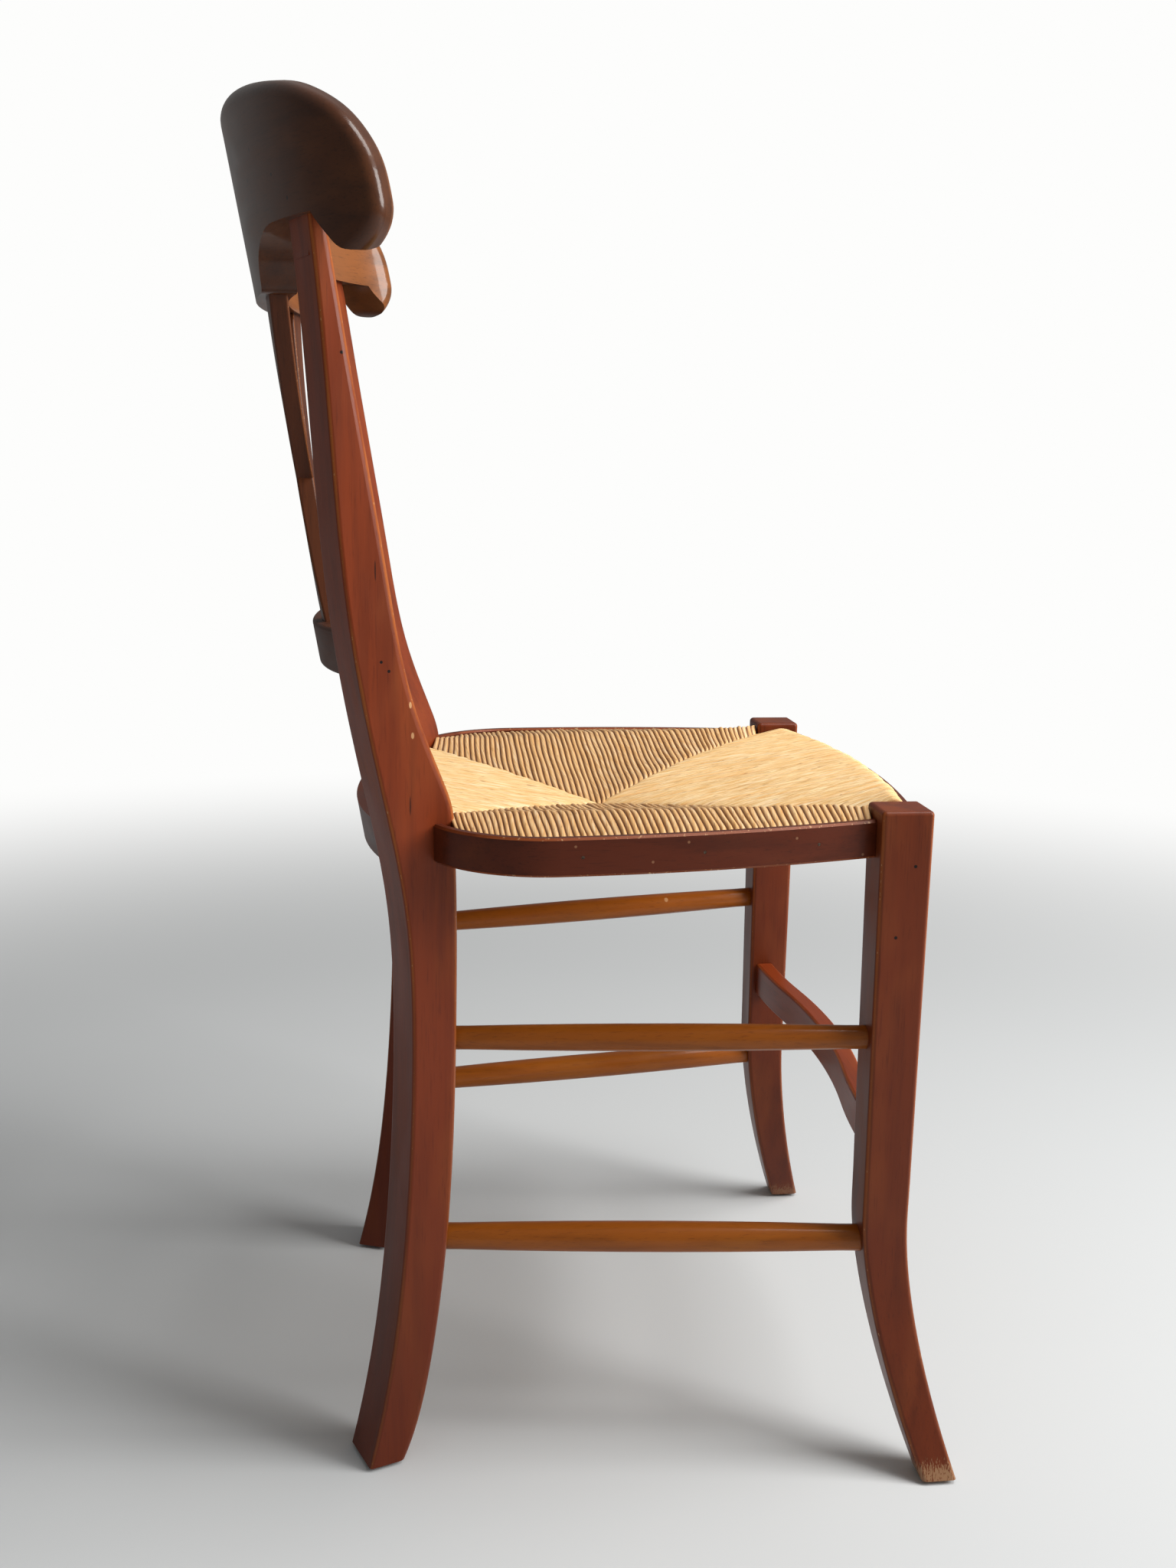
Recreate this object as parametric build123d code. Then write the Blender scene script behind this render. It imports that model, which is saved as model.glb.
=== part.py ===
from build123d import *
from math import asin, atan2, cos, degrees, radians, sin
import os

os.makedirs("parts", exist_ok=True)

# A wooden chair with a curved back, a rush seat and sabre legs. Millimetres, +Z up, the sitter faces -Y.
# Y is first measured from a point between the feet, and the finished chair is then centred on its box.

# Fits: the gap round a tenon in its mortise and round whatever the rush is woven over
joint_clearance = 0.15
tenon_length = 12.0
tenon_cheek = 3.0
glide_height = 3.0
glide_radius = 8.0
glide_bevel = 1.0
glide_pin_radius = 1.2
glide_pin_length = 14.0

# Rear posts: leg and back upright in one plank, turned outwards about the vertical.
# Their outline is given as (distance back along the plank, height), from the outer face's front line.
post_turn = 21.0
post_x = 158.0
post_y = 130.0
post_thickness = 38.0
post_top = 814.0
post_arris = 2.5
post_front_arris = 5.0
post_back_foot = 61.5
post_back_points = [(45, 78), (33, 182), (28, 300), (32.5, 392), (50, 480), (67, 570), (82.5, 746)]
post_back_top = 89.5
post_front_top = 78.0
post_front_points = [(66.5, 747), (41, 603), (24, 524), (4.5, 474)]
post_knee = (-2.5, 448.0)
post_leg_points = [(-4, 316), (-1, 214), (11.5, 92)]
post_front_foot = 35.0

# Front legs: square and tapered, upright to below the lower stretcher, then swept outwards and forwards.
leg_top = 460.0
leg_x = 178.0
leg_y = -160.5
leg_side = 35.0
leg_bend = 175.0
leg_bend_side = 31.5
leg_sweep = 1.65
leg_foot_out = 41.0
leg_foot_forward = 35.0
leg_foot_side = 24.0
leg_step = 24.0
leg_arris = 3.0

# Curve of the back, shared by the crest, the slats and the rails between the posts
back_radius = 420.0
back_lean = 0.175

# Crest rail: outer face behind the middle at the posts' tops, and the lobes beyond the posts
crest_back = 263.6
crest_lean = 0.18
crest_thickness = 22.0
crest_top = 897.0
crest_angles = [9.0, 18.0, 26.0]
lobe_angles = [36.0, 48.0, 60.0, 72.0]
lobe_radius = 120.0
crest_top_points = [(100, 896), (165, 889), (205, 878.5), (223, 866), (232, 849)]
lobe_tip = (235.5, 817.0)
lobe_under_points = [(233, 803), (224.5, 790.5), (206, 778)]
crest_blank = (180.0, 771.0)
lobe_bottom = 791.0
lobe_bottom_x = 222.0
arch_outer = 199.5
arch_slope = (209.5, 799.5)
arch_inner = 148.0
arch_shoulder = (112.0, 806.0)
tongue_half = 90.0
tongue_bottom = 779.0
tongue_corner = 8.0
crest_bullnose = 8.0
post_tenon_depth = 7.0
post_tenon_width = 24.0
post_tenon_length = 22.0

# Cross slats: two flat bars half-lapped at the crossing
slat_depth = 12.0
slat_width = 21.0
slat_back = 233.5
slat_level = 665.0
slat_top_x = 66.0
slat_foot_x = 55.0
slat_lean = 0.16
slat_cheek = 2.0
slat_foot_spare = 5.0
slat_arris = 1.5

# Lower back rail, between the posts: its middle height and its outer face there
low_rail_level = 550.5
low_rail_back = 221.2
low_rail_height = 31.0
low_rail_depth = 20.0
low_rail_arris = 2.5

# Seat: plan of the strips' outer faces, and the heights of strips, rails and rush before the seat is tipped
seat_slope = 0.75
side_bulge_x = 211.0
side_bulge_y = 66.0
side_radius = 810.0
corner_radius = 85.0
front_radius = 871.0
front_y = -192.0
strip_thickness = 7.0
strip_top = 450.0
strip_height = 25.0
strip_bevel = 1.5
rear_strip_level = 423.0
rear_strip_back = 191.8
rear_strip_height = 28.0
rear_strip_cheek = 1.5
rush_wrap = 3.0
rail_width = 11.0
rail_bottom = 428.5
rail_height = 13.0
rail_bevel = 3.0
rush_back = 185.0
rush_bottom = 425.5
rush_front = 458.5
rush_rear = 447.7
rush_roll = 7.0
rush_under_roll = 2.0
rush_dip = 427.0
rush_belly = 414.0
rush_middle_y = 14.0
rush_corners = [(160.0, -143.0), (128.0, 137.0)]

# Brads through the strips
nail_radius = 1.0
nail_length = 12.0
nail_clearance = 0.1
nail_angles = [-12.0, -6.5, -1.0]
nail_x = [-95.0, 0.0, 95.0]

# Stretchers: turned, swelling towards the middle; (x, y, z) where the axis meets each leg's face
upper_rear = (138.5, 133.0, 295.5)
upper_front = (177.5, -144.0, 302.0)
upper_end_radius = 8.0
upper_mid_radius = 9.3
lower_rear = (143.0, 139.0, 154.0)
lower_front = (177.5, -147.0, 157.0)
lower_end_radius = 9.0
lower_mid_radius = 10.5
stretcher_straight = 14.0
rear_stretcher_level = 222.0
rear_stretcher_x = 127.6
rear_stretcher_y = 157.0
rear_end_radius = 7.5
rear_mid_radius = 9.0

# Front stretcher: a flat bar bowed forwards
bow_bottom = 217.0
bow_height = 28.0
bow_thickness = 14.5
bow_back_y = -149.5
bow_rise = 13.0
bow_arris = 2.5

# Reach of cutting tools, larger than the chair
reach = 1000.0


def mirrored(piece):
    """The same piece on the other side of the chair."""
    return mirror(piece, about=Plane.YZ)


def both(piece):
    """The piece and its twin on the other side, as one cutting tool."""
    return piece + mirrored(piece)


def raised(face, bottom, height):
    """A plan face lifted to a height and made solid."""
    return Pos(0, 0, bottom) * extrude(face, height)


def sloped(piece):
    """The piece tipped with the seat, which falls to the rear."""
    middle = strip_top - strip_height / 2
    return Pos(0, 0, middle) * Rot(-seat_slope, 0, 0) * Pos(0, 0, -middle) * piece


def tipped(back, level, lean):
    """Place of a back rail or slat: its outer face at a level, leaning back."""
    return Pos(0, back, level) * Rot(-degrees(atan2(lean, 1)), 0, 0)


def ring(centre, radius, outer, inner, start, sweep):
    """Plan band between two concentric arcs that lie outer and inner below the radius."""
    out_arc = CenterArc(centre, radius - outer, start, sweep)
    in_arc = CenterArc(centre, radius - inner, start, sweep)
    return make_face([out_arc, Line(out_arc @ 1, in_arc @ 1), in_arc, Line(out_arc @ 0, in_arc @ 0)])


def back_ring(outer, inner, half_width):
    """Plan band on the back's curve, its outer middle at the origin, reaching half_width to each side."""
    half = degrees(asin(half_width / back_radius))
    return ring((0, -back_radius), back_radius, outer, inner, 90 - half, 2 * half)


# Rear posts


def post_plane():
    """Outer face of the left post: X runs back along the plank, Y runs up, Z points outwards."""
    turn = radians(post_turn)
    return Plane((post_x, post_y, 0), x_dir=(sin(turn), cos(turn), 0), z_dir=(cos(turn), -sin(turn), 0))


def post_body():
    """The plank cut to its outline and its long arrises rounded, the outer front one most."""
    back_foot = (post_back_foot, glide_height)
    back_top = (post_back_top, post_top)
    front_top = (post_front_top, post_top)
    front_foot = (post_front_foot, glide_height)
    back = Spline([back_foot] + post_back_points + [back_top])
    upper = Spline([front_top] + post_front_points + [post_knee], tangents=[(-0.18, -1), (-0.05, -1)])
    lower = Spline([post_knee] + post_leg_points + [front_foot], tangents=[(-0.05, -1), (0.5, -1)])
    outline = make_face([back, Line(back_top, front_top), upper, lower, Line(front_foot, back_foot)])
    plank = extrude(outline, post_thickness, dir=(0, 0, -1))
    outer = plank.edges().filter_by(lambda e: e.center().Z > -post_arris).sort_by(SortBy.LENGTH)
    plank = fillet(outer[2:4], post_front_arris)
    back_arris = plank.edges().filter_by(lambda e: e.center().Z > -post_arris).sort_by(SortBy.LENGTH)[-1:]
    inner = plank.edges().filter_by(lambda e: e.center().Z < post_arris - post_thickness)
    plank = fillet(back_arris + inner.sort_by(SortBy.LENGTH)[-3:], post_arris)
    return post_plane() * plank


def post_tenon(gap):
    """Tenon on the post's top, which stands in the crest rail."""
    block = Box(post_tenon_depth + 2 * gap, 2 * (post_tenon_length + gap), post_tenon_width + 2 * gap)
    middle = (post_back_top + post_front_top) / 2
    return post_plane() * (Pos(middle, post_top, -post_thickness / 2) * block)


def inside_posts(depth):
    """Everything between the posts, reaching depth into each from its inner face."""
    slab = Pos(0, 0, depth - post_thickness + reach / 2) * Box(2 * reach, 2 * reach, reach)
    return Box(2 * reach, 2 * reach, 2 * reach) - both(post_plane() * slab)


# Front legs


def leg_section(z):
    """Square section of the leg at a height, moved out and forwards below the bend."""
    drop = max(0.0, leg_bend - z) / (leg_bend - glide_height)
    rise = max(0.0, z - leg_bend) / (leg_top - leg_bend)
    side = leg_bend_side + (leg_foot_side - leg_bend_side) * drop + (leg_side - leg_bend_side) * rise
    sweep = drop**leg_sweep
    return Pos(leg_x + leg_foot_out * sweep, leg_y - leg_foot_forward * sweep, z) * Rectangle(side, side)


def leg_body():
    """Leg lofted through its sections, with rounded arrises and an eased top."""
    steps = round((leg_top - glide_height) / leg_step)
    heights = [glide_height + i * (leg_top - glide_height) / steps for i in range(steps + 1)]
    leg = loft([leg_section(z) for z in heights])
    arrises = leg.edges().sort_by(SortBy.LENGTH)[-4:]
    return fillet(arrises + leg.faces().sort_by(Axis.Z)[-1].edges(), leg_arris)


# Crest rail


def crest_plan():
    """Plan of the crest's outer face: one wide arc that tightens into a lobe at each end."""
    centre_y = crest_back - back_radius
    turn = radians(crest_angles[-1])
    lobe_x = (back_radius - lobe_radius) * sin(turn)
    lobe_y = centre_y + (back_radius - lobe_radius) * cos(turn)
    half = [(back_radius * sin(radians(a)), centre_y + back_radius * cos(radians(a))) for a in crest_angles]
    for angle in lobe_angles:
        turn = radians(angle)
        half.append((lobe_x + lobe_radius * sin(turn), lobe_y + lobe_radius * cos(turn)))
    return Spline([(-x, y) for x, y in reversed(half)] + [(0, crest_back)] + half)


def crest_outline():
    """Outline of the plank seen from the front, before the arches are sawn out."""
    edges = [Line(crest_blank, (-crest_blank[0], crest_blank[1]))]
    for side in (1, -1):
        over = [(side * x, z) for x, z in [(0, crest_top)] + crest_top_points + [lobe_tip]]
        under = [(side * x, z) for x, z in [lobe_tip] + lobe_under_points + [crest_blank]]
        edges.append(Spline(over, tangents=[(side, 0), (0, -1)]))
        edges.append(Spline(under, tangents=[(0, -1), (-side, 0)]))
    return make_face(edges)


def arch_waste():
    """What is sawn out below: the arch over each post, and all under the tongue between them."""
    lobe_start = (lobe_bottom_x, lobe_bottom)
    arch_start = (arch_outer, post_top)
    arch_end = (arch_inner, post_top)
    tongue = (tongue_half, tongue_bottom)
    half = make_face([
        Spline([lobe_start, arch_slope, arch_start], tangents=[(-1, 0), (-0.5, 1)]),
        Line(arch_start, arch_end),
        Spline([arch_end, arch_shoulder, tongue], tangents=[(-1, 0), (-0.1, -1)]),
        Polyline(tongue, (0, tongue_bottom), (0, leg_top), (lobe_bottom_x, leg_top), lobe_start),
    ])
    whole = half + mirrored(half)
    corners = whole.vertices().filter_by(lambda v: abs(v.Y - tongue_bottom) < 0.01)
    return fillet(corners, tongue_corner)


def crest_body():
    """Bent plank: the outer face cut to outline, thickened forwards, rounded over, the arches sawn out."""
    low = Pos(0, (leg_top - post_top) * crest_lean, leg_top) * crest_plan()
    sheet = Face.extrude(low.edge(), Vector(0, crest_lean * reach, reach))
    blank = sheet & extrude(Plane.XZ * crest_outline(), reach, both=True)
    plank = Solid.thicken(blank.face(), -crest_thickness)
    wide = plank.faces().sort_by(SortBy.AREA)[-2:]
    plank = fillet(wide[0].edges() + wide[1].edges(), crest_bullnose)
    return plank - extrude(Plane.XZ * arch_waste(), reach, both=True)


# Cross slats


def slat_bar(width):
    """Slanting bar seen from the front, foot on the right side and top on the left side of the back."""
    bottom = low_rail_level + low_rail_height / 2
    slant = degrees(atan2(slat_foot_x + slat_top_x, tongue_bottom - bottom))
    middle = Pos((slat_top_x - slat_foot_x) / 2, (tongue_bottom + bottom) / 2)
    bar = middle * Rot(0, 0, -slant) * Rectangle(width, 2 * (tongue_bottom - bottom))
    return extrude(Plane.XZ * bar, reach, both=True)


def slat_layer(outer, inner, above, below):
    """Layer of the curved back between two depths, longer than the slat's sight size at its ends."""
    top = tongue_bottom + above
    bottom = low_rail_level + low_rail_height / 2 - below
    sheet = extrude(back_ring(outer, inner, arch_inner), reach, both=True)
    span = Pos(0, 0, (top + bottom) / 2) * Box(2 * reach, 2 * reach, top - bottom)
    return tipped(slat_back, slat_level, slat_lean) * sheet & span


def slat_tenons(gap):
    """Thinner core of a slat, which runs on into the crest rail and the lower back rail."""
    longer = tenon_length + gap
    core = slat_layer(slat_cheek - gap, slat_depth - slat_cheek + gap, longer, longer)
    return core & slat_bar(slat_width - 2 * (tenon_cheek - gap))


def slat_whole():
    """Slat before the halving, with rounded arrises, its foot cut to the lower rail, and its tenons."""
    bar = slat_layer(0, slat_depth, 0, slat_foot_spare) & slat_bar(slat_width)
    return trimmed(eased(bar, slat_arris), low_rail(0, 0)) + slat_tenons(0)


# Rails


def back_rail(place, depth, height, cheek, into):
    """Curved rail between the posts, cheek smaller all round and running into them."""
    band = back_ring(cheek, depth - cheek, post_x + post_thickness)
    return place * extrude(band, height / 2 - cheek, both=True) & inside_posts(into)


def low_rail(cheek, into):
    """Lower back rail, or its tenons."""
    place = tipped(low_rail_back, low_rail_level, back_lean)
    return back_rail(place, low_rail_depth, low_rail_height, cheek, into)


def rear_strip(cheek, into):
    """Strip behind the seat, or its tenons."""
    place = tipped(rear_strip_back, rear_strip_level, back_lean)
    return back_rail(place, strip_thickness, rear_strip_height, cheek, into)


def rear_rail(cheek, into):
    """Rear seat rail, or its tenons."""
    inset = rush_wrap + cheek
    band = back_ring(inset, inset + rail_width - 2 * cheek, post_x + post_thickness)
    return rail_layer(Pos(0, rush_back) * band, cheek) & inside_posts(into)


def side_band(outer, inner):
    """Plan band along the left side of the seat: a long flat arc, then a tight one round to the post."""
    edges = []
    for inset in (outer, inner):
        edges.append(CenterArc((side_bulge_x - side_radius, side_bulge_y), side_radius - inset, -20, 20))
        edges.append(CenterArc((side_bulge_x - corner_radius, side_bulge_y), corner_radius - inset, 0, 80))
    edges.append(Line(edges[0] @ 0, edges[2] @ 0))
    edges.append(Line(edges[1] @ 1, edges[3] @ 1))
    return make_face(edges)


def front_band(outer, inner):
    """Plan band along the front of the seat."""
    return ring((0, front_y + front_radius), front_radius, outer, inner, 256, 28)


def side_reach(depth):
    """Everything outwards of the left post and behind the front leg, and depth into both."""
    block = Box(2 * reach, 2 * reach, 2 * reach)
    behind = Pos(0, leg_y + leg_side / 2 - depth + reach, 0) * block
    return behind & (post_plane() * (Pos(0, 0, reach - depth) * block))


def rail_layer(band, cheek):
    """Plan band made into a seat rail, cheek lower at top and bottom."""
    return sloped(raised(band, rail_bottom + cheek, rail_height - 2 * cheek))


def side_tenons(gap):
    """Thinner core of the left seat rail, which runs on into the post and the front leg."""
    inset = strip_thickness + rush_wrap + tenon_cheek - gap
    band = side_band(inset, inset + rail_width - 2 * (tenon_cheek - gap))
    return rail_layer(band, tenon_cheek - gap) & side_reach(tenon_length + gap)


def front_tenons(gap):
    """Thinner core of the front seat rail, which runs on into both front legs."""
    inset = strip_thickness + rush_wrap + tenon_cheek - gap
    band = front_band(inset, inset + rail_width - 2 * (tenon_cheek - gap))
    width = 2 * (leg_x - leg_side / 2 + tenon_length + gap)
    return rail_layer(band, tenon_cheek - gap) & Box(width, 2 * reach, 2 * reach)


def trimmed(bar, *others):
    """The main part of a bar once the pieces it butts against are cut away from it."""
    for other in others:
        bar = bar - other
    return bar.solids().sort_by(SortBy.VOLUME)[-1]


def eased(bar, radius):
    """Bar with its four longest arrises rounded."""
    return fillet(bar.edges().sort_by(SortBy.LENGTH)[-4:], radius)


def bevelled(bar, size):
    """Bar with its four longest arrises planed off."""
    return chamfer(bar.edges().sort_by(SortBy.LENGTH)[-4:], size)


# Rush seat


def seat_plan():
    """Plan inside the strips: side arcs, tight rear corners, and the front and back curves."""
    inset = strip_thickness + joint_clearance
    side = CenterArc((side_bulge_x - side_radius, side_bulge_y), side_radius - inset, -20, 20)
    corner = CenterArc((side_bulge_x - corner_radius, side_bulge_y), corner_radius - inset, 0, 90)
    rest = Polyline(corner @ 1, (post_x, reach), (0, reach), (0, (side @ 0).Y), side @ 0)
    half = make_face([side, corner, rest])
    front = Pos(0, front_y + front_radius) * Circle(front_radius - inset)
    back = Pos(0, rush_back - back_radius) * Circle(back_radius)
    return (half + mirrored(half)) & front & back


def rush_level(y):
    """Height of the rush over the rails, which falls from the front to the back."""
    return rush_front + (rush_rear - rush_front) * (y - front_y) / (rush_back - front_y)


def rush_pyramid(heights, tip, scale):
    """Pyramid over the seat's inner corners, its point in the middle at the tip's height."""
    point = Vector(0, rush_middle_y, tip)
    rim = [point + (Vector(x, y, z) - point) * scale for (x, y), z in zip(rush_corners, heights)]
    across = [Vector(-corner.X, corner.Y, corner.Z) for corner in reversed(rim)]
    return loft([make_face(Polyline(*rim, *across, close=True)), Vertex(point)], ruled=True)


def rush_block():
    """Woven block rolled over the rails, hollowed to its middle on top and bellied underneath."""
    lower = [(front_y, rush_bottom), (rush_back, rush_bottom)]
    profile = Polygon(*lower, (rush_back, rush_rear), (front_y, rush_front), align=None)
    block = extrude(Plane.YZ * profile, reach, both=True) & raised(seat_plan(), rush_bottom, strip_top)
    block = fillet(block.faces().sort_by(Axis.Z)[-1].edges(), rush_roll)
    block = fillet(block.faces().sort_by(Axis.Z)[0].edges(), rush_under_roll)
    hollow = rush_pyramid([rush_level(y) for x, y in rush_corners], rush_dip, 1.5)
    belly = rush_pyramid([rush_bottom + rush_under_roll] * 2, rush_belly, 1)
    return sloped(block + belly - hollow)


# Stretchers


def axis_plane(start, end):
    """Plane whose X runs from start to end."""
    along = Vector(*end) - Vector(*start)
    return Plane(start, x_dir=along, z_dir=along.cross(Vector(0, 0, 1)))


def turned(start, end, end_radius, mid_radius):
    """Round stretcher, swelling to the middle, with a straight end that runs into each leg."""
    length = (Vector(*end) - Vector(*start)).length
    first = (stretcher_straight, end_radius)
    last = (length - stretcher_straight, end_radius)
    swell = ThreePointArc(first, (length / 2, mid_radius), last)
    near = Polyline((-tenon_length, 0), (-tenon_length, end_radius), first)
    far = Polyline(last, (length + tenon_length, end_radius), (length + tenon_length, 0), (-tenon_length, 0))
    return axis_plane(start, end) * revolve(make_face([near, swell, far]), Axis.X)


def bore(start, end, end_radius):
    """Holes for a turned stretcher, as one rod through both legs' faces."""
    length = (Vector(*end) - Vector(*start)).length
    rod = Cylinder(end_radius + joint_clearance, length + 2 * (tenon_length + joint_clearance))
    return axis_plane(start, end) * (Pos(length / 2, 0, 0) * Rot(0, 90, 0) * rod)


def bow_bar():
    """Front stretcher between the legs: a bar of even section, bowed forwards by three tangent arcs."""
    turn = 2 * degrees(atan2(bow_rise, leg_x))
    radius = (leg_x**2 + bow_rise**2) / (4 * bow_rise)
    edges = []
    for y in (bow_back_y, bow_back_y - bow_thickness):
        first = JernArc((-leg_x, y), (1, 0), radius, -turn)
        middle = JernArc(first @ 1, first % 1, radius, 2 * turn)
        last = JernArc(middle @ 1, middle % 1, radius, -turn)
        edges += [first, middle, last]
    edges.append(Line(edges[0] @ 0, edges[3] @ 0))
    edges.append(Line(edges[2] @ 1, edges[5] @ 1))
    return raised(make_face(edges), bow_bottom, bow_height)


def bow_tenon(gap):
    """Tenon of the front stretcher in the left leg."""
    inner = leg_x - leg_side / 2
    shoulder = 2 * (tenon_cheek - gap)
    block = Box(2 * (tenon_length + gap), bow_thickness - shoulder, bow_height - shoulder)
    return Pos(inner, bow_back_y - bow_thickness / 2, bow_bottom + bow_height / 2) * block


# Small metal


def nail(x, y, angle, gap):
    """Headless brad driven inwards, flush with the outer face of a strip, or the hole for it."""
    shank = Pos(0, 0, (nail_length + gap) / 2) * Cylinder(nail_radius + gap, nail_length + gap)
    out = Vector(cos(radians(angle)), sin(radians(angle)), 0)
    return Plane((x, y, strip_top - strip_height / 2), x_dir=(0, 0, 1), z_dir=-out) * shank


def strip_nails(gap):
    """Brads of the left, right and front strips, or their holes."""
    side = []
    for angle in nail_angles:
        x = side_bulge_x - side_radius + side_radius * cos(radians(angle))
        side.append(sloped(nail(x, side_bulge_y + side_radius * sin(radians(angle)), angle, gap)))
    front = []
    for x in nail_x:
        lean = asin(x / front_radius)
        y = front_y + front_radius - front_radius * cos(lean)
        front.append(sloped(nail(x, y, degrees(lean) - 90, gap)))
    return side, front


def glide(x, y):
    """Glide under a foot, bevelled at the floor, with the pin that holds it."""
    disc = Pos(0, 0, glide_height / 2) * Cylinder(glide_radius, glide_height)
    disc = chamfer(disc.edges().sort_by(Axis.Z)[0], glide_bevel)
    whole = glide_height + glide_pin_length
    pin = Pos(0, 0, whole / 2) * Cylinder(glide_pin_radius, whole)
    return Pos(x, y, 0) * (disc + pin)


# Assembly

post = post_body()
leg = leg_body()
rail_inset = strip_thickness + rush_wrap
strip_bottom = strip_top - strip_height
side_nails, front_nails = strip_nails(0)
side_holes, front_holes = strip_nails(nail_clearance)
low_tenon = (tenon_cheek, tenon_length)
low_mortise = (tenon_cheek - joint_clearance, tenon_length + joint_clearance)
strip_tenon = (rear_strip_cheek, tenon_length)
strip_mortise = (rear_strip_cheek - joint_clearance, tenon_length + joint_clearance)
rear_right = (-rear_stretcher_x, rear_stretcher_y, rear_stretcher_level)
rear_left = (rear_stretcher_x, rear_stretcher_y, rear_stretcher_level)
rear_glide = post_plane() * Pos((post_front_foot + post_back_foot) / 2, 0, -post_thickness / 2)
glides = [
    glide(leg_x + leg_foot_out, leg_y - leg_foot_forward),
    glide(rear_glide.position.X, rear_glide.position.Y),
]
glides += [mirrored(g) for g in glides]

# Seat frame: strips outside, rails inside, with the rush between them
side_strip = raised(side_band(0, strip_thickness), strip_bottom, strip_height)
side_strip = sloped(bevelled(side_strip & side_reach(-joint_clearance), strip_bevel))
front_strip = raised(front_band(0, strip_thickness), strip_bottom, strip_height)
front_strip = front_strip & Box(2 * leg_x - leg_side, 2 * reach, 2 * reach)
front_strip = sloped(bevelled(front_strip, strip_bevel))
side_rail = bevelled(rail_layer(side_band(rail_inset, rail_inset + rail_width), 0), rail_bevel)
side_rail = trimmed(side_rail & side_reach(leg_arris), leg, post) + side_tenons(0)
front_rail = bevelled(rail_layer(front_band(rail_inset, rail_inset + rail_width), 0), rail_bevel)
front_rail = trimmed(front_rail, leg, mirrored(leg)) + front_tenons(0)
back_strip = rear_strip(0, 0) + rear_strip(*strip_tenon)
back_seat_rail = bevelled(rear_rail(0, 0), rail_bevel) + rear_rail(*low_tenon)
rush = rush_block()
for piece in (leg, post, side_rail):
    rush = rush - piece - mirrored(piece)
rush = rush - front_rail - back_seat_rail
rush = rush.solids().sort_by(SortBy.VOLUME)[-1]
for hole in side_holes:
    side_strip = side_strip - hole
    side_rail = side_rail - hole
    rush = rush - hole - mirrored(hole)
for hole in front_holes:
    front_strip = front_strip - hole
    front_rail = front_rail - hole
    rush = rush - hole

# Back
slat_cut = both(slat_tenons(joint_clearance))
slat = slat_whole()
slat_left = slat - (mirrored(slat_bar(slat_width)) & slat_layer(-1, slat_depth / 2, 0, 0))
slat_right = mirrored(slat) - (slat_bar(slat_width) & slat_layer(slat_depth / 2, slat_depth + 1, 0, 0))
lower_rail = eased(low_rail(0, 0), low_rail_arris) + low_rail(*low_tenon) - slat_cut
crest = crest_body() - both(post_tenon(joint_clearance)) - slat_cut

# Legs with their mortises, bores and pin holes
side_cut = side_tenons(joint_clearance)
upper_bore = bore(upper_rear, upper_front, upper_end_radius)
lower_bore = bore(lower_rear, lower_front, lower_end_radius)
rear_bore = bore(rear_right, rear_left, rear_end_radius)
post = post + post_tenon(0)
for cut in (low_rail(*low_mortise), rear_rail(*low_mortise), rear_strip(*strip_mortise), side_cut):
    post = post - cut
for cut in (upper_bore, lower_bore, rear_bore, glides[1]):
    post = post - cut
front_stretcher = trimmed(eased(bow_bar(), bow_arris), leg, mirrored(leg)) + both(bow_tenon(0))
for cut in (side_cut, front_tenons(joint_clearance), bow_tenon(joint_clearance)):
    leg = leg - cut
for cut in (upper_bore, lower_bore, glides[0]):
    leg = leg - cut

upper = turned(upper_rear, upper_front, upper_end_radius, upper_mid_radius)
lower = turned(lower_rear, lower_front, lower_end_radius, lower_mid_radius)
nodes = {
    "rear_post_left": post,
    "rear_post_right": mirrored(post),
    "front_leg_left": leg,
    "front_leg_right": mirrored(leg),
    "crest_rail": crest,
    "cross_slat_left": slat_left,
    "cross_slat_right": slat_right,
    "lower_back_rail": lower_rail,
    "seat_rail_front": front_rail,
    "seat_rail_rear": back_seat_rail,
    "seat_rail_left": side_rail,
    "seat_rail_right": mirrored(side_rail),
    "rush_seat": rush,
    "seat_strip_front": front_strip,
    "seat_strip_rear": back_strip,
    "seat_strip_left": side_strip,
    "seat_strip_right": mirrored(side_strip),
    "upper_stretcher_left": upper,
    "upper_stretcher_right": mirrored(upper),
    "lower_stretcher_left": lower,
    "lower_stretcher_right": mirrored(lower),
    "rear_stretcher": turned(rear_right, rear_left, rear_end_radius, rear_mid_radius),
    "front_stretcher": front_stretcher,
}
nodes["strip_nails"] = Compound(children=side_nails + [mirrored(n) for n in side_nails] + front_nails)
nodes["foot_glides"] = Compound(children=glides)

boxes = [piece.bounding_box() for piece in nodes.values()]
middle_y = (min(box.min.Y for box in boxes) + max(box.max.Y for box in boxes)) / 2
for name, piece in nodes.items():
    export_step(Pos(0, -middle_y, 0) * piece, f"parts/{name}.step")
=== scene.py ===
from math import cos, pi, radians, sin

import bpy
import numpy as np
from mathutils import Matrix, Vector


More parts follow.
